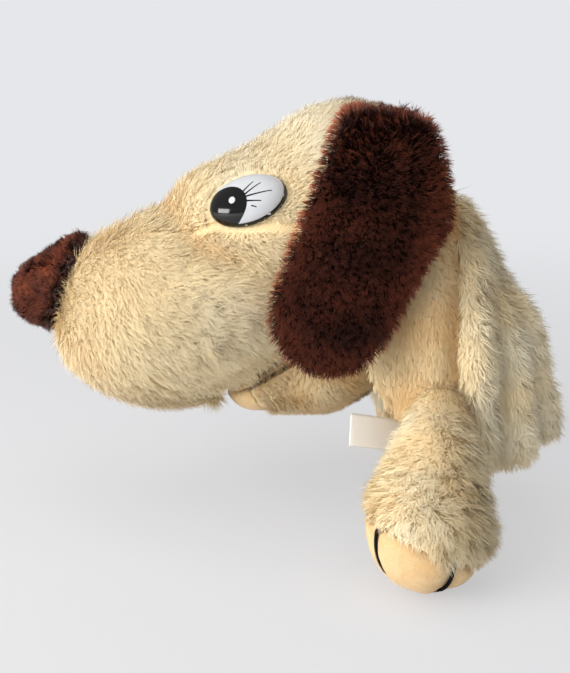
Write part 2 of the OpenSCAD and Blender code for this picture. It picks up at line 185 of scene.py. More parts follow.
HeadPile = pile_group("HeadPile", "head's", 6.6, 4.4, 0.26, 73, 3.2, 2.2)
EarPile = pile_group("EarPile", "ears'", 5.0, 6.0, 0.3, 20, 1.3, 2.6)
NosePile = pile_group("NosePile", "nose's", 3.9, 7.0, 0.34, 34, 1.5, 3.2)
ChestPile = pile_group("ChestPile", "chest's and jaw's short", 4.0, 5.0, 0.26, 72, 1.8, 1.2)
BackPile = pile_group("BackPile", "sleeve back's", 8.5, 4.2, 0.28, 66, 3.2, 2.6)
ArmPile = pile_group("ArmPile", "arms'", 7.6, 5.0, 0.24, 54, 2.6, 2.4)


class PuppetColours(PropertyGroup):
    """Colours of the puppet's cloths and trims."""

    # Cream Low is the warm peach of the chest and jaw, and also painted shade in the creases
    cream_low: tint("Cream Low", "Cream pile in its deepest, warmest places", 241, 198, 134)
    cream_mid: tint("Cream Mid", "Cream pile in most places", 253, 235, 194)
    # Cream High also paints the grey of the shade among the cheeks' tufts
    cream_high: tint("Cream High", "Cream pile where it has bleached", 253, 246, 224)
    cream_ground: tint("Cream Ground", "Knitted ground under the cream pile", 252, 228, 180)
    brown_low: tint("Brown Low", "Brown pile in its darkest places", 50, 22, 15)
    brown_mid: tint("Brown Mid", "Brown pile in most places", 100, 48, 31)
    # Brown High is painted light: the ears' edges lit through from behind
    brown_high: tint("Brown High", "Brown pile along the rusty edges", 178, 92, 54)
    brown_ground: tint("Brown Ground", "Knitted ground under the brown pile", 26, 10, 8)
    velour: tint("Velour", "Velour of the pads and the mouth", 232, 202, 154)
    velour_deep: tint("Velour Deep", "Velour where its nap is rubbed", 225, 187, 136)
    lining: tint("Lining", "Woven lining of the finger pocket", 236, 200, 150)
    eye_white: tint("Eye White", "White of the plastic eyes", 198, 201, 206)
    eye_black: tint("Eye Black", "Pupil, lashes and rim of the plastic eyes", 12, 12, 13)
    washer: tint("Washer", "Plastic washers behind the eyes", 205, 205, 200)
    board: tint("Board", "Pressed board in the mouth", 178, 168, 150)
    yarn: tint("Yarn", "Black yarn of the toe stitches", 22, 22, 28)
    satin: tint("Satin", "Satin of the tag", 250, 246, 240)
    floor: tint("Floor", "Floor and background", 230, 231, 234)


class PuppetForm(PropertyGroup):
    """Sizes of the sewn details."""

    crease: in_mm("Crease", "Depth of the fold between the muzzle and the brow", 5)
    seam: in_mm("Seam", "Depth of the sleeve's side seams", 5)
    folds: in_mm("Folds", "Depth of the folds in the sleeve's back", 3.2)
    toes: in_mm("Toes", "Depth of the dents that the toe stitches pull", 1.8)
    yarn: in_mm("Yarn", "Diameter of the stitching yarn", 1.5)


class PuppetStage(PropertyGroup):
    """Camera and light."""

    distance: in_mm("Distance", "Camera's distance", 450)
    height: in_degrees("Height", "Camera's angle above the horizon", 14)
    field: in_degrees("Field", "Camera's angle of view, top to bottom", 34.9)
    key: in_watts("Key", "Power of the large lamp beside the camera", 12.0)
    window: in_watts("Window", "Power of the small lamp at the left", 3.6)
    sky: in_watts("Sky", "Power of the large lamp overhead", 4.8)
    fill: FloatProperty(name="Fill", description="Strength of the light from all round", default=0.37)


SETTINGS = {"puppet_head": HeadPile, "puppet_ear": EarPile, "puppet_nose": NosePile, "puppet_chest": ChestPile,
            "puppet_back": BackPile, "puppet_arm": ArmPile, "puppet_colours": PuppetColours,
            "puppet_form": PuppetForm, "puppet_stage": PuppetStage}


# Shapes and fields

def unit(rows):
    """Rows scaled to length 1."""
    return rows / np.maximum(np.linalg.norm(rows, axis=-1, keepdims=True), 1e-12)


def rise(value, low, high):
    """0 below low, 1 above high, and smooth between."""
    share = np.clip((value - low) / (high - low), 0, 1)
    return share * share * (3 - 2 * share)


def hump(far, width):
    """1 at no distance, falling softly to nothing over about two widths."""
    return np.exp(-(far / width) ** 2)


def drift(points, size, seed, waves=5, peak=2.2):
    """A smooth wander, mostly between -1 and 1, with swells of about the given size, as a sum of waves."""
    rng = np.random.default_rng(seed)
    total = np.zeros(len(points))
    for _ in range(waves):
        wave = unit(rng.normal(size=3)) * 2 * math.pi / size
        total += np.sin(points @ wave + rng.uniform(0, 2 * math.pi))
    return total / peak


def wander(points, size, seed):
    """A drift of vectors, whose three parts take the seeds that follow the given one."""
    return np.stack([drift(points, size, seed + part) for part in (1, 2, 3)], axis=1)


def blended(first, second, share):
    """Rows between two sets of rows."""
    return first * (1 - share)[:, None] + second * share[:, None]


def mirrored(rows, side):
    """Places or directions on the left side, or their mirror images on the right."""
    return np.array(rows) * (1, 1 if side == "left" else -1, 1)


def onto_left(points):
    """Points with those of the right side mirrored onto the left."""
    return np.stack([points[:, 0], -np.abs(points[:, 1]), points[:, 2]], axis=1)


def far_from(points, middle):
    """Distance of points from a middle."""
    return np.linalg.norm(points - middle, axis=1)


def nearest(points, start, end):
    """The places on a straight stretch that are nearest to points."""
    way = end - start
    return start + np.clip((points - start) @ way / (way @ way), 0, 1)[:, None] * way


def from_line(points, corners):
    """Distance of points from a line through corners."""
    return np.min([far_from(points, nearest(points, *ends)) for ends in zip(corners[:-1], corners[1:])], axis=0)


def mouth_depth(points):
    """Height of points above the head's lowest line, into the head."""
    return (points - HINGE) @ MOUTH_UP + PALATE


def jaw_spot(points):
    """Places in the jaw's frame: backwards along the jaw, across it, and up out of it."""
    away = points - HINGE
    return np.stack([away @ JAW_ALONG, away[:, 1], away @ JAW_UP], axis=1)


def eye_oval(points, side, half=EYE_HALF):
    """How far points lie from an eye's middle, in shares of the oval's half sizes; no end for those off its plane."""
    spot = (mirrored(points, side) - EYE_POINT) @ EYE_AXES
    return np.where(np.abs(spot[:, 2]) < EYE_REACH, np.linalg.norm(spot[:, :2] / half, axis=1), np.inf)


# Meshes

def rows_of(items, key, kind=np.float32):
    """A three-part value of each item, as rows of an array."""
    flat = np.empty(len(items) * 3, kind)
    items.foreach_get(key, flat)
    return flat.reshape(-1, 3)


def points_of(piece):
    """A piece's points."""
    return rows_of(piece.data.vertices, "co").astype(float)


def normals_of(piece):
    """The normals at a piece's points."""
    return rows_of(piece.data.vertex_normals, "vector").astype(float)


def set_points(piece, points):
    """Moves a piece's points."""
    piece.data.vertices.foreach_set("co", points.astype(np.float32).ravel())
    piece.data.update()


def swell(piece, lift):
    """Moves a piece's points along their normals."""
    set_points(piece, points_of(piece) + normals_of(piece) * np.reshape(lift, (-1, 1)))


def in_scene(name, data):
    """Puts a mesh, lamp or camera into the scene under a name."""
    made = bpy.data.objects.new(name, data)
    bpy.context.scene.collection.objects.link(made)
    return made


def new_piece(name, build):
    """Puts a built mesh into the scene under a name."""
    mesh = bpy.data.meshes.new(name)
    build.to_mesh(mesh)
    build.free()
    return in_scene(name, mesh)


def modify(piece, kind, **values):
    """Gives a piece a modifier."""
    modifier = piece.modifiers.new(kind, kind)
    for key, value in values.items():
        setattr(modifier, key, value)


def settle(piece):
    """Applies a piece's modifiers."""
    mesh = bpy.data.meshes.new_from_object(piece.evaluated_get(bpy.context.evaluated_depsgraph_get()))
    old = piece.data
    piece.modifiers.clear()
    piece.data = mesh
    bpy.data.meshes.remove(old)
    mesh.name = piece.name
    mesh.materials.clear()
    mesh.shade_smooth()


def joined(nodes):
    """The meshes of CAD nodes in one."""
    build = bmesh.new()
    for node in nodes:
        build.from_mesh(frame["nodes"][node].data)
    return build


def soft_copy(name, nodes, voxel, rounds):
    """A rounded, evenly meshed copy of CAD nodes, sewn into one cloth form."""
    build = joined(nodes)
    bmesh.ops.remove_doubles(build, verts=build.verts, dist=1e-6)
    piece = new_piece(name, build)
    modify(piece, "REMESH", mode="VOXEL", voxel_size=voxel)
    modify(piece, "SMOOTH", factor=0.5, iterations=rounds)
    settle(piece)
    return piece


def bridge(build, rows, closed=False):
    """Faces between rows of points, and round them where they are closed rings."""
    count = len(rows[0])
    for low, high in zip(rows[:-1], rows[1:]):
        for index in range(count if closed else count - 1):
            after = (index + 1) % count
            build.faces.new((low[index], low[after], high[after], high[index]))


def hull_tree(*nodes):
    """Search tree of the convex hull round CAD nodes."""
    build = joined(nodes)
    made = bmesh.ops.convex_hull(build, input=build.verts)
    bmesh.ops.delete(build, geom=list({*made["geom_interior"], *made["geom_unused"]}), context="VERTS")
    bmesh.ops.recalc_face_normals(build, faces=build.faces)
    tree = BVHTree.FromBMesh(build)
    build.free()
    return tree


def near_share(points, tree, within):
    """1 for points within a distance of a hull's faces, otherwise 0."""
    return np.array([tree.find_nearest(Vector(point))[3] < within for point in points], float)


def inside(points, tree):
    """Whether points lie inside a hull."""
    found = [tree.find_nearest(Vector(point)) for point in points]
    return np.array([(Vector(point) - hit[0]).dot(hit[1]) < 0 for point, hit in zip(points, found)])


# Pile

def scatter(piece, share, density, seed):
    """Strand roots spread evenly over the part of a piece where share is 1, and their normals."""
    rng = np.random.default_rng(seed)
    points, normals = points_of(piece), normals_of(piece)
    piece.data.calc_loop_triangles()
    triangles = rows_of(piece.data.loop_triangles, "vertices", np.int32)
    corners = points[triangles]
    area = np.linalg.norm(np.cross(corners[:, 1] - corners[:, 0], corners[:, 2] - corners[:, 0]), axis=1) / 2
    area = area * (share[triangles].mean(axis=1) > 0.01)
    count = int(area.sum() / MM ** 2 * density)
    pick = triangles[rng.choice(len(area), count, p=area / area.sum())]
    root, slide = np.sqrt(rng.random(count)), rng.random(count)
    weights = np.stack([1 - root, root * (1 - slide), root * slide], axis=1)[:, :, None]
    kept = (share[pick] * weights[:, :, 0]).sum(axis=1) > rng.random(count)
    roots = (points[pick] * weights).sum(axis=1)
    facing = unit((normals[pick] * weights).sum(axis=1))
    return roots[kept], facing[kept]


def kd_tree(points):
    """Search tree of points."""
    tree = KDTree(len(points))
    for number, point in enumerate(points):
        tree.insert(point, number)
    tree.balance()
    return tree


# The share of strands that are tried as middles of locks, and how near to a middle no other is taken, in spacings
LOCK_TRIES = 0.1
LOCK_REACH = 0.75


def locks(roots, spacing, rng):
    """The lock that each strand belongs to: number of its lock, and the lock's middle."""
    middles = roots[rng.choice(len(roots), max(1, int(len(roots) * LOCK_TRIES)), replace=False)]
    tree = kd_tree(middles)
    taken = np.zeros(len(middles), bool)
    chosen = []
    for number, middle in enumerate(middles):
        if not taken[number]:
            chosen.append(number)
            for _, other, _ in tree.find_range(middle, spacing * LOCK_REACH):
                taken[other] = True
    tree = kd_tree(middles[chosen])
    owner = np.array([tree.find(root)[1] for root in roots])
    return owner, middles[chosen][owner]


# A strand is a four-sided face with a triangle at its tip: heights of its points, widths, corners and face starts
STRAND_STEPS = np.array([0.0, 0.5, 1.0])
STRAND_TAPER = np.array([0.8, 1.0])
STRAND_CORNERS = np.array([0, 1, 3, 2, 2, 3, 4])
STRAND_FACES = np.array([0, 4])
STRAND_POINTS = 5
# Some strands stand more upright than the rest, and give the outline its fuzz
GUARD_SHARE = 0.12
GUARD_LEAN = 0.6
# How far a whole lock strays from its pile, how far each strand strays by itself, and how far a lock draws together
LOCK_TURN, LOCK_TILT, LOCK_LENGTH, LOCK_TONE = 0.5, 0.16, 0.22, 0.05
OWN_TURN, OWN_TILT, OWN_ROLL, OWN_TONE = 0.22, 0.06, 0.5, 0.04
OWN_LENGTH = (0.86, 1.1)
OWN_WIDTH = (0.7, 1.25)
TILT_LIMITS = (0.05, 1.42)
LOCK_PULL = 0.5


def grow_pile(name, roots, facing, nap, pile, seed, tone, length=1.0, lean=1.0, shag=0.5, curl=0.12, soft=0.9):
    """Strands of pile as a mesh: each is a tapering ribbon that leans along the nap and gathers into locks.
    tone is from 0, warm and deep, to 1, bleached; shag is from 0, combed, to 1, in loose tufts."""
    rng = np.random.default_rng(seed)
    count = len(roots)
    owner, middles = locks(roots, pile.clump, rng)
    lock_count = owner.max() + 1
    lock_turn, lock_lean = rng.normal(0, 1, lock_count)[owner], rng.normal(0, 1, lock_count)[owner]
    lock_size, lock_tone = rng.uniform(-1, 1, lock_count)[owner], rng.normal(0, 1, lock_count)[owner]
    shag = np.broadcast_to(shag, count)

    # Turn, tilt and length: a share that the whole lock has, and a little of each strand's own
    along = unit(nap - (nap * facing).sum(axis=1, keepdims=True) * facing)
    across = np.cross(facing, along)
    turn = (LOCK_TURN * shag * lock_turn + OWN_TURN * rng.normal(0, 1, count))[:, None]
    along, across = along * np.cos(turn) + across * np.sin(turn), across * np.cos(turn) - along * np.sin(turn)
    upright = np.where(rng.random(count) < GUARD_SHARE, GUARD_LEAN, 1.0)
    tilt = pile.lean * lean * upright + LOCK_TILT * shag * lock_lean + OWN_TILT * rng.normal(0, 1, count)
    tilt = np.clip(tilt, *TILT_LIMITS)[:, None]
    reach = pile.length * length * (1 + LOCK_LENGTH * shag * lock_size)
    reach = (reach * rng.uniform(*OWN_LENGTH, count))[:, None]
    swing, phase = curl * rng.normal(0, 1, count)[:, None], rng.uniform(0, 2 * math.pi, count)[:, None]

    lines = []
    for step in STRAND_STEPS:
        up = np.cos(tilt) * (1.3 * step - 0.3 * step ** 2)
        out = np.sin(tilt) * (0.72 * step + 0.28 * step ** 2)
        bend = swing * (np.sin(4.2 * step + phase) - np.sin(phase))
        gather = (LOCK_PULL * shag * step ** 1.4)[:, None] * (middles - roots)
        gather -= (gather * facing).sum(axis=1, keepdims=True) * facing
        lines.append(roots + reach * (up * facing + out * along + bend * across) + gather)

    heading = unit(lines[2] - lines[0])
    roll = rng.normal(0, OWN_ROLL, count)[:, None]
    edge = unit(np.cross(heading, facing) * np.cos(roll) + facing * np.sin(roll) * 0.6)
    half = pile.width / 2 * rng.uniform(*OWN_WIDTH, count)[:, None]
    ribbon = unit(np.cross(edge, heading))
    ribbon *= np.sign((ribbon * facing).sum(axis=1, keepdims=True) + 1e-9)
    shine = unit(soft * facing + (1 - soft) * ribbon)

    points = np.stack([line + way * edge * half * taper for line, taper in zip(lines, STRAND_TAPER)
                       for way in (-1, 1)] + [lines[2]], axis=1)
    mesh = bpy.data.meshes.new(name)
    corners, faces = len(STRAND_CORNERS), len(STRAND_FACES)
    mesh.vertices.add(count * STRAND_POINTS)
    mesh.loops.add(count * corners)
    mesh.polygons.add(count * faces)
    mesh.vertices.foreach_set("co", points.astype(np.float32).ravel())
    strand = np.arange(count)[:, None]
    mesh.loops.foreach_set("vertex_index", (strand * STRAND_POINTS + STRAND_CORNERS).astype(np.int32).ravel())
    mesh.polygons.foreach_set("loop_start", (strand * corners + STRAND_FACES).astype(np.int32).ravel())
    mesh.update(calc_edges=True)
    # The finish reads each strand's tone across the chart and its height up it
    chart = np.empty((count, corners, 2), np.float32)
    shade = np.clip(tone + LOCK_TONE * shag * lock_tone + OWN_TONE * rng.normal(0, 1, count), 0.01, 0.99)
    chart[:, :, 0] = shade[:, None]
    chart[:, :, 1] = np.clip(np.repeat(STRAND_STEPS, 2)[STRAND_CORNERS], 0.02, 0.98)
    mesh.uv_layers.new(name="OFBake").data.foreach_set("uv", chart.ravel())
    mesh.shade_smooth()
    mesh.normals_split_custom_set_from_vertices(np.repeat(shine, STRAND_POINTS, axis=0).astype(np.float32))
    return in_scene(name, mesh)


# Shader nodes

COLOUR, VALUE, VECTOR = "NodeSocketColor", "NodeSocketFloat", "NodeSocketVector"


def feed(tree, socket, value):
    """Links a socket to another, or sets its value."""
    if isinstance(value, bpy.types.NodeSocket):
        tree.links.new(value, socket)
    elif value is not None:
        socket.default_value = value


def shader_node(tree, kind, *values, **settings):
    """A new node with its settings, and its inputs fed in their order."""
    made = tree.nodes.new("ShaderNode" + kind)
    for key, value in settings.items():
        setattr(made, key, value)
    for socket, value in zip(made.inputs, values):
        feed(tree, socket, value)
    return made


def sums(tree, operation, *values, clamp=False):
    """A math node's result."""
    return shader_node(tree, "Math", *values, operation=operation, use_clamp=clamp).outputs[0]


def vectors(tree, operation, *values):
    """A vector math node's result: its number for a dot product or a length, otherwise its vector."""
    made = shader_node(tree, "VectorMath", *values, operation=operation)
    return made.outputs["Value" if operation in ("DOT_PRODUCT", "LENGTH") else "Vector"]


def scaled(tree, vector, scale):
    """A vector times a number."""
    return vectors(tree, "SCALE", vector, None, None, scale)


def ramp(tree, value, low, high, start=0.0, end=1.0):
    """A value taken smoothly from one range to another."""
    return shader_node(tree, "MapRange", value, low, high, start, end, interpolation_type="SMOOTHSTEP").outputs[0]


def mix(tree, share, first, second, blend="MIX"):
    """A colour between two colours. A mix node's inputs 6 and 7 are its colours."""
    return shader_node(tree, "Mix", share, *[None] * 5, first, second, data_type="RGBA", blend_type=blend).outputs[2]


def place(tree):
    """A surface point's place on the piece."""
    return shader_node(tree, "TexCoord").outputs["Object"]


def noise(tree, scale, detail=2.0, roughness=0.5):
    """A noise value at a surface point's place."""
    return shader_node(tree, "TexNoise", place(tree), None, scale, detail, roughness).outputs[0]


def group(name, inputs, outputs):
    """A new node group with named sockets: its tree, its inputs and its outputs."""
    tree = bpy.data.node_groups.new(name, "ShaderNodeTree")
    for way, sockets in (("INPUT", inputs), ("OUTPUT", outputs)):
        for label, kind in sockets.items():
            tree.interface.new_socket(label, in_out=way, socket_type=kind)
    return tree, tree.nodes.new("NodeGroupInput").outputs, tree.nodes.new("NodeGroupOutput").inputs


def placed(tree, name, **values):
    """Puts a node group into a material with its own values; returns its outputs."""
    made = shader_node(tree, "Group", node_tree=bpy.data.node_groups[name])
    for label, value in values.items():
        feed(tree, made.inputs[label.replace("_", " ")], value)
    return made.outputs


def build_groups():
    """The effects that several finishes share."""
    tree, given, out = group("Pile Tint", {"Low": COLOUR, "Mid": COLOUR, "High": COLOUR, "Root": COLOUR},
                             {"Colour": COLOUR})
    chart = shader_node(tree, "UVMap", uv_map="OFBake")
    tone, height, _ = shader_node(tree, "SeparateXYZ", chart.outputs[0]).outputs
    warm = mix(tree, ramp(tree, tone, 0.0, 0.5), given["Low"], given["Mid"])
    plain = mix(tree, ramp(tree, tone, 0.5, 1.0), warm, given["High"])
    # Painted shade: the colour is darkened by Root towards each strand's root
    deep = mix(tree, 1.0, plain, given["Root"], "MULTIPLY")
    feed(tree, out["Colour"], mix(tree, ramp(tree, height, 0.0, 0.9), deep, plain))

    tree, given, out = group("Velour Nap", {"Plain": COLOUR, "Rubbed": COLOUR, "Patch Scale": VALUE,
                                            "Fibre Scale": VALUE}, {"Colour": COLOUR, "Height": VALUE})
    patch = noise(tree, given["Patch Scale"], 3.0, 0.6)
    fibre = noise(tree, given["Fibre Scale"], 4.0, 0.7)
    soft = mix(tree, ramp(tree, patch, 0.35, 0.7), given["Plain"], given["Rubbed"])
    bright = ramp(tree, fibre, 0.25, 0.75, 0.86, 1.06)
    grey = shader_node(tree, "CombineColor", bright, bright, bright).outputs[0]
    feed(tree, out["Colour"], mix(tree, 1.0, soft, grey, "MULTIPLY"))
    feed(tree, out["Height"], sums(tree, "MULTIPLY_ADD", fibre, 0.7, sums(tree, "MULTIPLY", patch, 0.6)))

    tree, given, out = group("Woven Cloth", {"Warp": COLOUR, "Weft": COLOUR, "Threads": VALUE},
                             {"Colour": COLOUR, "Height": VALUE})
    x, y, z = shader_node(tree, "SeparateXYZ", scaled(tree, place(tree), given["Threads"])).outputs
    over = sums(tree, "SINE", sums(tree, "ADD", x, y))
    under = sums(tree, "SINE", sums(tree, "MULTIPLY_ADD", y, -0.5, z))
    uneven = sums(tree, "SUBTRACT", noise(tree, 240.0, 3.0), 0.5)
    share = ramp(tree, sums(tree, "MULTIPLY_ADD", over, under, uneven), -0.8, 0.8)
    feed(tree, out["Colour"], mix(tree, share, given["Warp"], given["Weft"]))
    feed(tree, out["Height"], share)

    tree, given, out = group("Printed Stroke", {"Spot": VECTOR, "Start": VECTOR, "End": VECTOR, "Width": VALUE},
                             {"Mask": VALUE})
    way = vectors(tree, "SUBTRACT", given["End"], given["Start"])
    off = vectors(tree, "SUBTRACT", given["Spot"], given["Start"])
    share = sums(tree, "DIVIDE", vectors(tree, "DOT_PRODUCT", off, way), vectors(tree, "DOT_PRODUCT", way, way),
                 clamp=True)
    gap = vectors(tree, "LENGTH", vectors(tree, "SUBTRACT", off, scaled(tree, way, share)))
    width = sums(tree, "MULTIPLY", given["Width"], sums(tree, "MULTIPLY_ADD", share, -0.5, 1.1))
    inner, outer = (sums(tree, "MULTIPLY", width, edge) for edge in (0.7, 1.2))
    feed(tree, out["Mask"], ramp(tree, gap, inner, outer, 1.0, 0.0))


# Finishes

def finish(name, paint, bump=0.3, depth=0.3 * MM, **constants):
    """A material whose colour and height come from its nodes, with plain values set on the shader itself."""
    material = bpy.data.materials.new(name)
    material.use_nodes = True
    tree = material.node_tree
    shader = tree.nodes["Principled BSDF"]
    for label, value in constants.items():
        shader.inputs[label.replace("_", " ")].default_value = value
    colour, height = paint(tree)
    feed(tree, shader.inputs["Base Color"], colour)
    if height is not None:
        relief = shader_node(tree, "Bump", bump, depth, None, height)
        feed(tree, shader.inputs["Normal"], relief.outputs[0])
    return material


def shared(name, paint, **constants):
    """A finish that is made once and then shared."""
    return bpy.data.materials.get(name) or finish(name, paint, **constants)


def colours():
    """The scene's colours as four-part values."""
    kept = bpy.context.scene.puppet_colours
    return {key: (*getattr(kept, key), 1.0) for key in PuppetColours.__annotations__}


def darker(colour, share):
    """A share of a colour's light."""
    return (*(share * part for part in colour[:3]), 1.0)


# Painted shade at a pile's roots, as the share of its colour that is left there, and the pile's sheen
ROOT_SHADE = {"cream": (0.99, 0.95, 0.86, 1.0), "brown": (0.2, 0.16, 0.14, 1.0)}
SHEEN = {"cream": 0.35, "brown": 0.1}


def pile_finish(family):
    """Fibres of a pile, shaded by each strand's tone and from root to tip."""
    shades = colours()

    def paint(tree):
        made = placed(tree, "Pile Tint", Low=shades[family + "_low"], Mid=shades[family + "_mid"],
                      High=shades[family + "_high"], Root=ROOT_SHADE[family])
        return made["Colour"], None
    return shared(family + " pile", paint, Roughness=0.72, Specular_IOR_Level=0.25, Sheen_Weight=SHEEN[family],
                  Sheen_Roughness=0.45)


def woven(name, colour, weft, threads, **constants):
    """Woven or knitted cloth, whose weft has a share of the warp's light."""
    def paint(tree):
        made = placed(tree, "Woven Cloth", Warp=colour, Weft=darker(colour, weft), Threads=threads)
        return made["Colour"], made["Height"]
    return shared(name, paint, **constants)


def ground_finish(family):
    """Knitted ground cloth that shows between the strands."""
    return woven(family + " ground", colours()[family + "_ground"], weft=0.86, threads=5200.0, Roughness=0.9,
                 Specular_IOR_Level=0.15)


def velour_finish():
    """Short smooth velour of the pads and the mouth."""
    shades = colours()

    def paint(tree):
        made = placed(tree, "Velour Nap", Plain=shades["velour"], Rubbed=shades["velour_deep"], Patch_Scale=90.0,
                      Fibre_Scale=1500.0)
        return made["Colour"], made["Height"]
    return shared("peach velour", paint, bump=0.45, depth=0.5 * MM, Roughness=0.85, Specular_IOR_Level=0.2,
                  Sheen_Weight=0.3, Sheen_Roughness=0.4)


def mottled(name, plain, scale, change, **constants):
    """A plain moulded or pressed stuff with faint mottling and grain."""
    def paint(tree):
        share = ramp(tree, noise(tree, scale, 4.0, 0.6), 0.3, 0.7)
        return mix(tree, share, plain, darker(plain, change)), noise(tree, scale * 4, 3.0)
    return finish(name, paint, bump=0.15, depth=0.1 * MM, **constants)


def eye_finish(side):
    """Moulded eye: black pupil with a glint, printed lashes and a worn black rim, in the eye's own frame."""
    white, dark = colours()["eye_white"], colours()["eye_black"]

    def paint(tree):
        away = vectors(tree, "SUBTRACT", place(tree), tuple(mirrored(EYE_POINT, side)))
        spot = shader_node(tree, "CombineXYZ", *[vectors(tree, "DOT_PRODUCT", away, tuple(mirrored(axis, side) / MM))
                                                 for axis in EYE_AXES.T[:2]]).outputs[0]

        def disc(x, y, radius, stretch):
            off = vectors(tree, "MULTIPLY", vectors(tree, "SUBTRACT", spot, (x, y, 0)), (1, stretch, 1))
            return ramp(tree, vectors(tree, "LENGTH", off), radius - PRINT_EDGE, radius + PRINT_EDGE, 1.0, 0.0)

        black = disc(*PUPIL)
        chips = ramp(tree, noise(tree, 420.0, 3.0), 0.64, 0.68, 1.0, 0.0)
        for start, end in LASHES:
            lash = placed(tree, "Printed Stroke", Spot=spot, Start=start, End=end, Width=LASH_WIDTH)["Mask"]
            black = sums(tree, "MAXIMUM", black, sums(tree, "MULTIPLY", lash, chips))
        shares = vectors(tree, "DIVIDE", spot, (*EYE_HALF / MM, 1))
        inner = ramp(tree, vectors(tree, "DOT_PRODUCT", shares, (0.62, -0.8, 0)), -0.1, 0.7, 0.985, 0.95)
        rim = ramp(tree, vectors(tree, "LENGTH", shares), sums(tree, "SUBTRACT", inner, 0.012),
                   sums(tree, "ADD", inner, 0.012))
        black = sums(tree, "MAXIMUM", black, sums(tree, "MULTIPLY", rim, chips))
        clouded = mix(tree, ramp(tree, noise(tree, 160.0, 3.0), 0.35, 0.75), white, darker(white, 0.93))
        printed = mix(tree, disc(*GLINT), mix(tree, black, clouded, dark), white)
        return printed, noise(tree, 900.0, 3.0)
    return finish(f"eye plastic {side}", paint, bump=0.04, depth=0.1 * MM, Roughness=0.1, Specular_IOR_Level=0.5)


# Pieces

def dress(piece, material):
    """Gives a piece its one finish."""
    piece.data.materials.clear()
    piece.data.materials.append(material)
    return piece


def put_on(piece, material, body, slot, *nodes):
    """Dresses a piece, lets it ride on a body, and names its material slot and the CAD nodes that it stands for."""
    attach(dress(piece, material), body)
    if nodes:
        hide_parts(*nodes)


def under_pile(piece, nodes, pile, within, form=None):
    """Finds a cloth form's outside, gives it its folds and lowers it under the pile; returns the outside's share."""
    points = points_of(piece)
    share = near_share(points, hull_tree(*nodes), within)
    lift = form(points) if form else 0
    swell(piece, (lift - pile.under) * share)
    return share


def tuck_in(piece, inset):
    """Draws the edges of a mouth lining inwards from all sides."""
    points = points_of(piece)
    low, high = points.min(axis=0), points.max(axis=0)
    middle = (low + high) / 2
    shrink = 1 - np.array([inset, inset, 0]) / ((high - low) / 2)
    set_points(piece, middle + (points - middle) * shrink)


def head_form(points):
    """How far the head swells: the fold below the brow, the full brow and cheeks, and the uneven filling."""
    left = onto_left(points)
    return (-bpy.context.scene.puppet_form.crease * hump(from_line(left, BROW_FOLD), 8 * MM)
            + 0.5 * MM * hump(far_from(left, BROW), 22 * MM) + 1.5 * MM * hump(far_from(left, FULL_CHEEK), 26 * MM)
            + 0.8 * MM * drift(points, 42 * MM, seed=3))


def head_bare(roots, facing):
    """Whether strands would grow in the mouth, into the neck's hole, under the nose or under an eye."""
    spot = jaw_spot(roots)
    bare = ((spot[:, 0] > MOUTH_FRONT) & (spot[:, 0] < MOUTH_BACK) & (np.abs(spot[:, 1]) < MOUTH_HALF)
            & (spot[:, 2] < MOUTH_HIGH))
    bare |= (facing * unit(roots - nearest(roots, SKULL, MUZZLE))).sum(axis=1) < 0.1
    bare |= inside(roots, hull_tree("nose_cover"))
    for side in SIDES:
        bare |= eye_oval(roots, side, EYE_HALF - EYE_LAP) < 1
    return bare


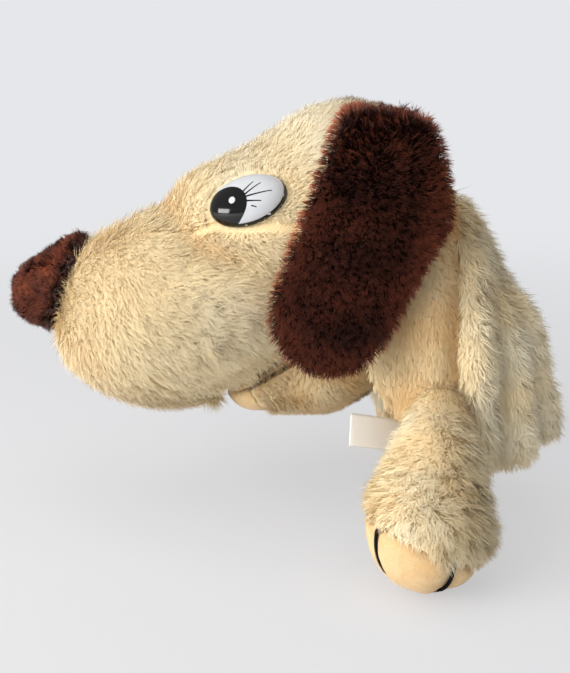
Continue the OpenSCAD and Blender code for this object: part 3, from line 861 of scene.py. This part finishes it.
def make_head():
    """Head cover with its pile, the mouth's roof and the finger pocket."""
    nodes = ("head_left_panel", "head_right_panel", "head_crown_strip", "head_stuffing")
    skin = soft_copy("head_cover", nodes, voxel=1.8 * MM, rounds=6)
    pile = bpy.context.scene.puppet_head
    share = under_pile(skin, nodes, pile, within=10 * MM, form=head_form)
    put_on(skin, ground_finish("cream"), "head", "cream_plush", *nodes)

    roots, facing = scatter(skin, share, pile.density, seed=11)
    grown = ~head_bare(roots, facing)
    roots, facing = roots[grown], facing[grown]
    nap = unit(roots - NOSE_TIP) + np.array([0.1, 0, -0.35]) * np.abs(facing[:, 1:2])
    nap = nap + 0.3 * wander(roots, 46 * MM, seed=20)
    # Round an eye the strands are shorter, stand up and point away from it
    length, round_eye = np.ones(len(roots)), np.zeros(len(roots))
    for side in SIDES:
        oval = eye_oval(roots, side)
        close = 1 - rise(oval, 1.05, 1.5)
        round_eye = np.maximum(round_eye, 1 - rise(oval, 1.2, 1.9))
        nap = blended(nap, unit(roots - mirrored(EYE_POINT, side)), close)
        length *= 1 - 0.3 * close
    # Where the pile changes: the fold, the crown, the tufted cheeks, the muzzle's front and the lip over the jaw
    left = onto_left(roots)
    fold = hump(from_line(left, BROW_FOLD), 6 * MM)
    crown = rise(roots[:, 2], 95 * MM, 125 * MM)
    cheek = hump(far_from(left, CHEEK_TUFTS), 24 * MM)
    front = 1 - rise(roots[:, 0], -170 * MM, -110 * MM)
    lip = rise(mouth_depth(roots), 17 * MM, 9 * MM) * rise(roots[:, 0], -120 * MM, -104 * MM)
    nap = blended(nap, np.array([0.35, 0, -1.0]), 0.8 * lip)
    length *= 1 - 0.3 * crown - 0.2 * fold + 1.0 * lip + 0.5 * cheek
    length -= 0.35 * rise(-facing[:, 2], 0.2, 0.8) * (1 - lip)
    lean = 1 - 0.32 * cheek - 0.38 * lip - 0.25 * fold - 0.3 * round_eye
    # Painted shade: the pile is darker and warmer in the fold below the brow, and paler and greyer on the tufted
    # cheeks, standing in for the grey shade among their tufts
    tone = (0.52 - 0.25 * fold - 0.1 * front + 0.07 * drift(roots, 34 * MM, seed=31) + 0.25 * crown
            + 0.2 * cheek)
    for side in SIDES:
        for part, here in (("muzzle", roots[:, 0] < PILE_SPLIT), ("skull", roots[:, 0] >= PILE_SPLIT)):
            mine = ((roots[:, 1] < 0) == (side == "left")) & here
            made = grow_pile(f"head_pile_{side}_{part}", roots[mine], facing[mine], nap[mine], pile,
                             seed=40 + len(side + part), tone=tone[mine], length=length[mine], lean=lean[mine],
                             shag=0.15 + 0.85 * cheek[mine], soft=0.96)
            put_on(made, pile_finish("cream"), "head", "cream_plush")

    palate = soft_copy("palate_velour", ["palate_lining"], voxel=0.9 * MM, rounds=3)
    tuck_in(palate, inset=3 * MM)
    put_on(palate, velour_finish(), "head", "peach_velour", "palate_lining")
    pocket = soft_copy("pocket_lining", ["finger_pocket"], voxel=1.1 * MM, rounds=4)
    swell(pocket, 0.25 * MM * drift(points_of(pocket), 14 * MM, seed=5))
    lining = woven("pocket lining", colours()["lining"], weft=0.82, threads=7000.0, Roughness=0.8,
                   Specular_IOR_Level=0.2)
    put_on(pocket, lining, "head", "pocket_lining", "finger_pocket")


def make_nose():
    """Nose of short, curly brown pile."""
    nodes = ("nose_cover", "nose_stuffing")
    skin = soft_copy("nose_cover_cloth", nodes, voxel=1.2 * MM, rounds=4)
    pile = bpy.context.scene.puppet_nose
    share = under_pile(skin, nodes, pile, within=1.4 * MM)
    put_on(skin, ground_finish("brown"), "head", "brown_plush", *nodes)
    roots, facing = scatter(skin, share, pile.density, seed=12)
    nap = unit(roots - MUZZLE) + wander(roots, 9 * MM, seed=50)
    tone = 0.5 + 0.16 * drift(roots, 10 * MM, seed=54)
    made = grow_pile("nose_pile", roots, facing, nap, pile, seed=55, tone=tone, shag=1.0, curl=0.2)
    put_on(made, pile_finish("brown"), "head", "brown_plush")


def make_eyes():
    """Plastic eyes with their washers, and the boards of the mouth, which keep the frame's shapes."""
    shades = colours()
    washer = mottled("washer plastic", shades["washer"], scale=500.0, change=0.9, Roughness=0.4)
    board = mottled("pressed board", shades["board"], scale=700.0, change=0.75, Roughness=0.9,
                    Specular_IOR_Level=0.2)
    for side in SIDES:
        dress(frame["nodes"][side + "_eye"], eye_finish(side)).data.shade_smooth()
        dress(frame["nodes"][side + "_eye_washer"], washer)
    for node in ("palate_board", "jaw_board"):
        dress(frame["nodes"][node], board)


def make_lip(skin, outside):
    """Velour lip round the front of the jaw, cut from the outside of its cover."""
    build = bmesh.new()
    build.from_mesh(skin.data)
    inner = [vert for vert, stays in zip(build.verts, outside) if not stays]
    bmesh.ops.delete(build, geom=inner, context="VERTS")
    bmesh.ops.bisect_plane(build, geom=[*build.verts, *build.edges, *build.faces],
                           plane_co=HINGE + LIP_SEAM * JAW_ALONG, plane_no=JAW_ALONG, clear_outer=True)
    loose = [vert for vert in build.verts if not vert.link_faces]
    bmesh.ops.delete(build, geom=loose, context="VERTS")
    lip = new_piece("jaw_lip", build)
    swell(lip, 0.9 * MM)
    modify(lip, "SOLIDIFY", thickness=1.4 * MM, offset=-1)
    modify(lip, "SMOOTH", iterations=3)
    settle(lip)
    put_on(lip, velour_finish(), "jaw", "peach_velour")


def make_jaw():
    """Lower jaw: short pile, a velour lip round its front and the velour lining on top."""
    skin = soft_copy("jaw_cover_cloth", ["jaw_cover"], voxel=1.4 * MM, rounds=4)
    points = points_of(skin)
    spot = jaw_spot(points)
    share = near_share(points, hull_tree("jaw_cover"), within=9 * MM) * (spot[:, 2] < -1.2 * MM)
    # The heel of the jaw is drawn back towards the throat
    throat = rise(spot[:, 0], -38 * MM, -10 * MM) * rise(-spot[:, 2], 4 * MM, 12 * MM)
    pile = bpy.context.scene.puppet_chest
    set_points(skin, points - normals_of(skin) * (pile.under * share)[:, None]
               + 12 * MM * throat[:, None] * JAW_ALONG)
    put_on(skin, ground_finish("cream"), "jaw", "cream_plush", "jaw_cover")
    make_lip(skin, share > 0.5)

    roots, facing = scatter(skin, share * (spot[:, 0] >= LIP_SEAM), pile.density, seed=13)
    nap = np.array([0.7, 0, -0.5]) + 0.4 * wander(roots, 22 * MM, seed=60)
    tone = 0.28 + 0.1 * drift(roots, 16 * MM, seed=64)
    made = grow_pile("jaw_pile", roots, facing, nap, pile, seed=65, tone=tone, length=0.95, lean=0.45, shag=0.35)
    put_on(made, pile_finish("cream"), "jaw", "cream_plush")

    lining = soft_copy("jaw_velour", ["jaw_lining"], voxel=0.9 * MM, rounds=3)
    tuck_in(lining, inset=2 * MM)
    put_on(lining, velour_finish(), "jaw", "peach_velour", "jaw_lining")


def make_ears():
    """Long brown ears: dense pile over both layers, rusty along the edges."""
    pile = bpy.context.scene.puppet_ear
    for side in SIDES:
        nodes = (side + "_ear_face", side + "_ear_back")
        skin = soft_copy(side + "_ear_cloth", nodes, voxel=1.5 * MM, rounds=5)
        swell(skin, -pile.under)
        roots, facing = scatter(skin, np.ones(len(skin.data.vertices)), pile.density, seed=14)
        # The pile fans out over the rim. Painted light: it is lighter and redder along the edge between the two
        # layers and over the rim, as if lit through, and lighter on top, as if lit from above; it is darker towards
        # its lower end.
        flat = roots * (1, 0, 1)
        away = unit(flat - EAR_MIDDLE)
        away[:, 2] = np.minimum(away[:, 2], 0)
        out = facing @ mirrored([0, -1, 0], side)
        edge = 1 - rise(np.abs(out), 0.25, 0.8)
        rim = rise(from_line(flat, EAR_SPINE), 12 * MM, 24 * MM)
        top, tip = rise(roots[:, 2], 112 * MM, 132 * MM), 1 - rise(roots[:, 2], 45 * MM, 70 * MM)
        nap = away * (1.6 * rim)[:, None] + np.array([-0.2, 0, -0.9]) + 0.5 * wander(roots, 30 * MM, seed=70)
        tone = 0.22 + 0.6 * edge + 0.3 * rim + 0.1 * drift(roots, 24 * MM, seed=74) + 0.25 * top - 0.2 * tip
        length = np.where(out > -0.2, 1.0, 0.55)
        made = grow_pile(side + "_ear_pile", roots, facing, nap, pile, seed=75, tone=tone, length=length,
                         lean=0.8 + 0.7 * rim, shag=0.85)
        for piece, material in ((skin, ground_finish("brown")), (made, pile_finish("brown"))):
            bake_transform(dress(piece, material))
        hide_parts(*nodes)


def sleeve_shape(points):
    """How far the sleeve swells: its sunken side seams, its full chest and the soft folds of its back."""
    form = bpy.context.scene.puppet_form
    height, behind = points[:, 2], points[:, 0] - SEAM_X
    seam = hump(behind, 4.5 * MM) * rise(np.abs(points[:, 1]), 20 * MM, 34 * MM)
    back, side = rise(behind, 0, 16 * MM), rise(behind, 0, 7 * MM)
    turn = np.arctan2(np.abs(points[:, 1]), behind)
    folds = form.folds * np.cos(turn * FOLD_RATE - FOLD_SHIFT) * (1 - rise(height, 20 * MM, 84 * MM))
    crest = 2.5 * MM * hump(turn - CREST_TURN, 0.16) * (1 - rise(height, 60 * MM, 92 * MM))
    slack = (2.5 * MM * (1 - rise(height, 6 * MM, 26 * MM)) - 5.2 * MM) * (1 - rise(height, 66 * MM, 92 * MM))
    chest = 2 * MM * hump(height - 52 * MM, 20 * MM) * (1 - back)
    uneven = 0.7 * MM * drift(points, 34 * MM, seed=7)
    return chest - form.seam * seam + (folds + crest) * side + slack * back + uneven


def make_sleeve():
    """Sleeve for the hand: short pile on the chest, long pile on the back, blended into the neck."""
    scene = bpy.context.scene
    nodes = ("sleeve_front_panel", "sleeve_back_panel", "hem_band")
    skin = soft_copy("sleeve_cloth", nodes, voxel=1.7 * MM, rounds=5)
    points, normals = points_of(skin), normals_of(skin)
    # The outside is what faces away from the sleeve's middle line, which leans forward into the neck
    middle = np.interp(points[:, 2], [NECK_START[2], NECK_END[2]], [SLEEVE_X, NECK_END[0]])
    away = unit(np.stack([points[:, 0] - middle, points[:, 1], 0 * middle], axis=1))
    share = rise((normals * away).sum(axis=1), 0, 0.4)
    points = points - normals * (scene.puppet_chest.under * share)[:, None]
    outward = unit((points - np.array([SLEEVE_X, 0, 0])) * (1, 0.8, 0))
    hem = 9 * MM * (1 - rise(points[:, 2], 0, 34 * MM)) * rise(points[:, 0], 2 * MM, 34 * MM)
    set_points(skin, points + outward * sleeve_shape(points)[:, None] + hem[:, None] * UP)
    dress(skin, ground_finish("cream"))

    pieces = [skin]
    for name, pile, back, seed in (("sleeve_chest_pile", scene.puppet_chest, False, 15),
                                   ("sleeve_back_pile", scene.puppet_back, True, 16)):
        roots, facing = scatter(skin, share, pile.density, seed)
        mine = ((roots[:, 0] > SEAM_X) == back) & (facing[:, 2] > -0.85)
        roots, facing = roots[mine], facing[mine]
        nap = np.array([0.25, 0, -1.0]) + 0.35 * wander(roots, 40 * MM, seed)
        seam = hump(roots[:, 0] - SEAM_X, 5 * MM)
        # Longer, more upright strands lap over the arms' upper seams
        sewn = hump(far_from(onto_left(roots), SHOULDER) - 13 * MM, 5 * MM)
        sewn = sewn * (not back) * (roots[:, 2] > SHOULDER[2])
        # Painted shade: the pile is darker and warmer along the side seam's crease
        tone = (0.74 if back else 0.32) - 0.2 * seam + 0.1 * drift(roots, 30 * MM, seed + 4)
        length = 0.55 + 0.45 * rise(roots[:, 2], 2 * MM, 24 * MM) + 0.9 * sewn
        made = grow_pile(name, roots, facing, nap, pile, seed=seed + 5, tone=tone, length=length,
                         lean=(1.0 if back else 0.78) - 0.3 * sewn, shag=0.55 if back else 0.3)
        pieces.append(dress(made, pile_finish("cream")))
    for piece in pieces:
        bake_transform(piece)
    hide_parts(*nodes)


def on_paw(side, bearings, heights, radius):
    """Points round a paw at bearings and heights in degrees."""
    bearings, heights = np.broadcast_arrays(np.radians(bearings), np.radians(heights))
    away = np.stack([-np.sin(bearings), -np.cos(bearings), 0 * bearings], axis=1)
    return PAW[side] + radius * (np.cos(heights)[:, None] * mirrored(away, side) + np.sin(heights)[:, None] * UP)


def toe_line(side, bearing, low, radius=PAW_R):
    """Points of a toe stitch down the paw."""
    return on_paw(side, bearing, np.linspace(TOE_TOP, low, 24), radius)


def toe_hook(side, bearing, low, radius):
    """Points of the end of a stitch that turns forward over the paw."""
    return on_paw(side, bearing + np.linspace(0, HOOK_TURN, 10)[1:], low, radius)


def plied_yarn(name, line, diameter, turns, plies=3, steps=90, round_points=7):
    """Plied yarn along a line, as one mesh."""
    share = np.linspace(0, 1, steps)
    fine = share * (len(line) - 1)
    path = np.stack([np.interp(fine, np.arange(len(line)), line[:, axis]) for axis in range(3)], axis=1)
    heading = unit(np.gradient(path, axis=0))
    first = unit(np.cross(heading, unit(path - path.mean(axis=0) + 1e-4 * UP)))
    second = np.cross(heading, first)
    radius = diameter * 0.25 * np.minimum(1.0, 0.35 + 14 * np.minimum(share, 1 - share))
    build = bmesh.new()

    def ring(angle, size):
        return size[:, None] * (np.cos(angle)[:, None] * first + np.sin(angle)[:, None] * second)

    for ply in range(plies):
        middle = path + ring(2 * math.pi * (ply / plies + turns * share), np.full(len(path), 0.27 * diameter))
        corners = [middle + ring(np.full(len(path), angle), radius)
                   for angle in np.arange(round_points) * 2 * math.pi / round_points]
        rings = [[build.verts.new(spot) for spot in spots] for spots in np.stack(corners, axis=1)]
        bridge(build, rings, closed=True)
        build.faces.new(rings[0][::-1])
        build.faces.new(rings[-1])
    bmesh.ops.recalc_face_normals(build, faces=build.faces)
    piece = new_piece(name, build)
    piece.data.shade_smooth()
    return piece


def slope_shoulder(skin, side):
    """Slopes an arm's upper end into the sleeve's side and narrows it towards the back."""
    points = points_of(skin)
    shoulder = mirrored(SHOULDER, side)
    way = unit(PAW[side] - shoulder)
    down = (points - shoulder) @ way
    behind = np.maximum((points - shoulder - down[:, None] * way)[:, 0], 0)
    outer = np.maximum(np.abs(points[:, 1]) - (41 * MM + 1.15 * np.maximum(down + 11 * MM, 0)), 0)
    narrow = 0.3 * (1 - rise(down, -8 * MM, 24 * MM)) * behind
    set_points(skin, points + np.stack([-narrow, mirrored([0, 1, 0], side)[1] * outer, 0 * outer], axis=1))


def grow_arm(skin, share, side):
    """The pile of an arm, down to the pad's edge and in a tongue over it."""
    pile = bpy.context.scene.puppet_arm
    shoulder = mirrored(SHOULDER, side)
    way = unit(PAW[side] - shoulder)
    roots, facing = scatter(skin, share, pile.density, seed=17)
    edge = (roots - PAW[side] + 2 * MM * UP) @ mirrored(PAD_EDGE, side)
    spot = mirrored(roots - PAW[side], side)
    bearing = np.degrees(np.arctan2(-spot[:, 0], -spot[:, 1]))
    tongue = hump(bearing + 11, 10) * (spot[:, 1] < 0)
    mine = edge > (-1.8 - 4 * tongue) * MM
    roots, facing, edge, tongue = roots[mine], facing[mine], edge[mine], tongue[mine]
    nap = way + np.array([0, 0, -0.5]) + 0.4 * unit(roots - shoulder) + 0.4 * wander(roots, 24 * MM, seed=80)
    # The tongue hangs in tufts, the pile is fullest above the pad and lies close at the shoulder
    tuft = tongue * (1 - rise(edge, 0, 16 * MM))
    fluff = hump(edge - 10 * MM, 9 * MM)
    top = 1 - rise((roots - shoulder) @ way, -8 * MM, 14 * MM)
    length = 0.6 + 0.4 * rise(edge, 0, 9 * MM) + 0.5 * tuft + 0.2 * fluff - 0.25 * top
    tone = 0.64 + 0.14 * drift(roots, 22 * MM, seed=84) + 0.2 * tuft - 0.2 * top
    return grow_pile(side + "_arm_pile", roots, facing, nap, pile, seed=85, tone=tone, length=length,
                     lean=0.9 - 0.2 * fluff + 0.25 * tuft + 0.35 * top, shag=0.55 + 0.35 * tuft - 0.3 * top)


def make_arms():
    """Arms with paws: pile, velour pads and black toe stitches that dent the paw."""
    scene = bpy.context.scene
    form = scene.puppet_form
    yarn = mottled("black yarn", colours()["yarn"], scale=1800.0, change=0.5, Roughness=0.85,
                   Specular_IOR_Level=0.2)
    for side in SIDES:
        body = side + "_arm"
        nodes = (side + "_arm_cover", side + "_arm_stuffing")
        pad_node = side + "_paw_pad"
        toes = [toe_line(side, *toe) for toe in TOES]

        def dents(points):
            return -form.toes * sum(hump(from_line(points, line), 3.2 * MM) for line in toes)

        skin = soft_copy(side + "_arm_cloth", (*nodes, pad_node), voxel=1.6 * MM, rounds=4)
        share = under_pile(skin, (*nodes, pad_node), scene.puppet_arm, within=5 * MM, form=dents)
        slope_shoulder(skin, side)
        put_on(skin, ground_finish("cream"), body, "cream_plush", *nodes)

        pad = soft_copy(side + "_pad_velour", [pad_node], voxel=1.1 * MM, rounds=3)
        points = points_of(pad)
        tucked = 3.4 * MM * rise((points - PAW[side]) @ mirrored(PAD_UP, side), -7 * MM, -1.5 * MM)
        swell(pad, dents(points) + 0.3 * MM * drift(points, 12 * MM, seed=8) - tucked)
        put_on(pad, velour_finish(), body, "peach_velour", pad_node)
        put_on(grow_arm(skin, share, side), pile_finish("cream"), body, "cream_plush")

        radius = PAW_R + 0.35 * form.yarn - form.toes
        lines = [toe_line(side, *toe, radius) for toe in TOES]
        lines[0] = np.concatenate([lines[0], toe_hook(side, *TOES[0], radius)])
        for number, line in enumerate(lines, 1):
            stitch = plied_yarn(f"{side}_toe_yarn_{number}", line, form.yarn, turns=7)
            put_on(stitch, yarn, body, "black_yarn", *([side + "_toe_stitches"] if number == 1 else []))


def make_tag():
    """Folded satin tag, slightly curved, with nothing on it."""
    length, width, gap, sewn_in = 26 * MM, 13 * MM, 0.5 * MM, 2 * MM
    out = np.linspace(-sewn_in, length - sewn_in, 22)
    curve = 1.6 * MM * np.sin(np.clip(out, 0, None) / length * 2.4)
    bend = np.linspace(-math.pi / 2, math.pi / 2, 6)[1:-1]
    lower, upper = np.stack([-out, curve], axis=1), np.stack([-out, curve + gap], axis=1)
    tip = np.stack([-out[-1] - gap / 2 * np.cos(bend), curve[-1] + gap / 2 + gap / 2 * np.sin(bend)], axis=1)
    build = bmesh.new()
    rows = [[build.verts.new(TAG_ROOT + TAG_TURN @ Vector((reach, across, height + 0.5 * MM * (across / width) ** 2)))
             for across in np.linspace(-width / 2, width / 2, 12)]
            for reach, height in np.concatenate([lower, tip, upper[::-1]])]
    bridge(build, rows)
    tag = new_piece("satin_tag", build)
    modify(tag, "SOLIDIFY", thickness=0.2 * MM, offset=0)
    settle(tag)
    satin = woven("white satin", colours()["satin"], weft=0.9, threads=9000.0, bump=0.15, depth=0.1 * MM,
                  Roughness=0.38, Specular_IOR_Level=0.5, Sheen_Weight=0.1)
    put_on(tag, satin, "sleeve", "white_satin", "care_tag")


# Stage

STAGE_MIDDLE = Vector((-0.082, 0, 0.0435))
# Each lamp's place from the stage's middle, its width and its height
LAMPS = {"window": ((-0.9, -0.38, 0.12), 0.45, 0.22), "key": ((-0.84, -0.7, 0.43), 1.0, 0.8),
         "sky": ((-0.1, -0.3, 1.15), 1.4, 1.2)}
LAMP_COLOUR = (1.0, 0.98, 0.95)
FILL_COLOUR = (1.0, 0.985, 0.96, 1.0)
FLOOR_RADIUS = 6.0
# The floor fades into the background between these distances, from this share on
FADE_NEAR, FADE_FAR, FADE_LEAST = 0.15, 0.9, 0.6


def seen_as(tree, plain, seen, share=1.0):
    """A shader that camera rays see as another one, by a share."""
    rays = shader_node(tree, "LightPath").outputs["Is Camera Ray"]
    share = sums(tree, "MULTIPLY", rays, share)
    return shader_node(tree, "MixShader", share, plain.outputs[0], seen.outputs[0]).outputs[0]


def lay_floor(pale):
    """Pale floor that fades into the background."""
    def paint(tree):
        return mix(tree, ramp(tree, noise(tree, 3.0), 0.3, 0.7), pale, darker(pale, 0.985)), None

    build = bmesh.new()
    bmesh.ops.create_circle(build, cap_ends=True, segments=96, radius=FLOOR_RADIUS)
    floor = new_piece("floor", build)
    floor.location = (SKULL[0], 0, PAW_LOW)
    material = finish("pale floor", paint, Roughness=0.9, Specular_IOR_Level=0.1)
    tree = material.node_tree
    glow = shader_node(tree, "Emission", pale)
    far = ramp(tree, vectors(tree, "LENGTH", place(tree)), FADE_NEAR, FADE_FAR, FADE_LEAST, 1.0)
    feed(tree, tree.nodes["Material Output"].inputs["Surface"],
         seen_as(tree, tree.nodes["Principled BSDF"], glow, far))
    dress(floor, material)


def make_stage():
    """Pale floor and background, soft light and the camera."""
    scene = bpy.context.scene
    stage = scene.puppet_stage
    pale = colours()["floor"]
    scene.view_settings.view_transform = "Standard"
    lay_floor(pale)

    scene.world = bpy.data.worlds.new("studio")
    scene.world.use_nodes = True
    tree = scene.world.node_tree
    room = tree.nodes["Background"]
    feed(tree, room.inputs["Color"], FILL_COLOUR)
    feed(tree, room.inputs["Strength"], stage.fill)
    wall = shader_node(tree, "Background", pale)
    feed(tree, tree.nodes["World Output"].inputs["Surface"], seen_as(tree, room, wall))

    for name, (away, width, height) in LAMPS.items():
        lamp = bpy.data.lights.new(name, "AREA")
        lamp.shape = "RECTANGLE"
        lamp.size, lamp.size_y = width, height
        lamp.energy = getattr(stage, name)
        lamp.color = LAMP_COLOUR
        hung = in_scene(name, lamp)
        hung.location = STAGE_MIDDLE + Vector(away)
        hung.rotation_euler = (STAGE_MIDDLE - hung.location).to_track_quat("-Z", "Y").to_euler()
        # One lamp's reflection is enough for the eyes
        hung.visible_glossy = name == "window"

    lens = bpy.data.cameras.new("camera")
    lens.sensor_fit = "VERTICAL"
    lens.angle = stage.field
    lens.clip_start = 0.01
    scene.camera = in_scene("camera", lens)
    away = Vector((0, -math.cos(stage.height), math.sin(stage.height)))
    scene.camera.location = STAGE_MIDDLE + stage.distance * away
    scene.camera.rotation_euler = (math.pi / 2 - stage.height, 0, 0)


# Add-on

class PUPPET_OT_head(Operator):
    """Cover the head in cream pile and line its mouth and pocket"""

    bl_idname = "puppet.head"
    bl_label = "Head"
    bl_options = {"REGISTER", "UNDO"}

    def execute(self, context):
        make_head()
        return {"FINISHED"}


class PUPPET_OT_nose(Operator):
    """Cover the nose in curly brown pile"""

    bl_idname = "puppet.nose"
    bl_label = "Nose"
    bl_options = {"REGISTER", "UNDO"}

    def execute(self, context):
        make_nose()
        return {"FINISHED"}


class PUPPET_OT_eyes(Operator):
    """Finish the plastic eyes, washers and boards"""

    bl_idname = "puppet.eyes"
    bl_label = "Eyes"
    bl_options = {"REGISTER", "UNDO"}

    def execute(self, context):
        make_eyes()
        return {"FINISHED"}


class PUPPET_OT_jaw(Operator):
    """Cover the jaw in short pile, with its velour lip and lining"""

    bl_idname = "puppet.jaw"
    bl_label = "Jaw"
    bl_options = {"REGISTER", "UNDO"}

    def execute(self, context):
        make_jaw()
        return {"FINISHED"}


class PUPPET_OT_ears(Operator):
    """Cover the ears in dense brown pile"""

    bl_idname = "puppet.ears"
    bl_label = "Ears"
    bl_options = {"REGISTER", "UNDO"}

    def execute(self, context):
        make_ears()
        return {"FINISHED"}


class PUPPET_OT_sleeve(Operator):
    """Cover the sleeve in short and long cream pile"""

    bl_idname = "puppet.sleeve"
    bl_label = "Sleeve"
    bl_options = {"REGISTER", "UNDO"}

    def execute(self, context):
        make_sleeve()
        return {"FINISHED"}


class PUPPET_OT_arms(Operator):
    """Cover the arms in pile, with velour pads and toe stitches"""

    bl_idname = "puppet.arms"
    bl_label = "Arms"
    bl_options = {"REGISTER", "UNDO"}

    def execute(self, context):
        make_arms()
        return {"FINISHED"}


class PUPPET_OT_tag(Operator):
    """Fold the bare satin tag"""

    bl_idname = "puppet.tag"
    bl_label = "Tag"
    bl_options = {"REGISTER", "UNDO"}

    def execute(self, context):
        make_tag()
        return {"FINISHED"}


class PUPPET_OT_stage(Operator):
    """Set the floor, light and camera"""

    bl_idname = "puppet.stage"
    bl_label = "Stage"
    bl_options = {"REGISTER", "UNDO"}

    def execute(self, context):
        make_stage()
        return {"FINISHED"}


OPERATORS = (PUPPET_OT_head, PUPPET_OT_nose, PUPPET_OT_eyes, PUPPET_OT_jaw, PUPPET_OT_ears, PUPPET_OT_sleeve,
             PUPPET_OT_arms, PUPPET_OT_tag, PUPPET_OT_stage)


class PUPPET_PT_panel(Panel):
    """Sizes, colours and steps of the puppet."""

    bl_label = "Hand Puppet"
    bl_idname = "PUPPET_PT_panel"
    bl_space_type = "VIEW_3D"
    bl_region_type = "UI"
    bl_category = "Puppet"

    def draw(self, context):
        for made in OPERATORS:
            self.layout.operator(made.bl_idname)
        for key, kept in SETTINGS.items():
            box = self.layout.box()
            box.label(text=key.replace("puppet_", "").title())
            for prop in kept.__annotations__:
                box.prop(getattr(context.scene, key), prop)


def register():
    """Adds the settings, the operators and the panel."""
    for key, kept in SETTINGS.items():
        bpy.utils.register_class(kept)
        setattr(bpy.types.Scene, key, PointerProperty(type=kept))
    for made in (*OPERATORS, PUPPET_PT_panel):
        bpy.utils.register_class(made)


def unregister():
    """Takes the panel, the operators and the settings away."""
    for made in (PUPPET_PT_panel, *reversed(OPERATORS)):
        bpy.utils.unregister_class(made)
    for key, kept in reversed(SETTINGS.items()):
        delattr(bpy.types.Scene, key)
        bpy.utils.unregister_class(kept)


def main():
    """Builds the whole puppet and writes its size beside the frame's."""
    register()
    build_groups()
    bpy.ops.puppet.head()
    bpy.ops.puppet.nose()
    bpy.ops.puppet.eyes()
    bpy.ops.puppet.jaw()
    bpy.ops.puppet.ears()
    bpy.ops.puppet.sleeve()
    bpy.ops.puppet.arms()
    bpy.ops.puppet.tag()
    bpy.ops.puppet.stage()


if __name__ == "__main__":
    main()
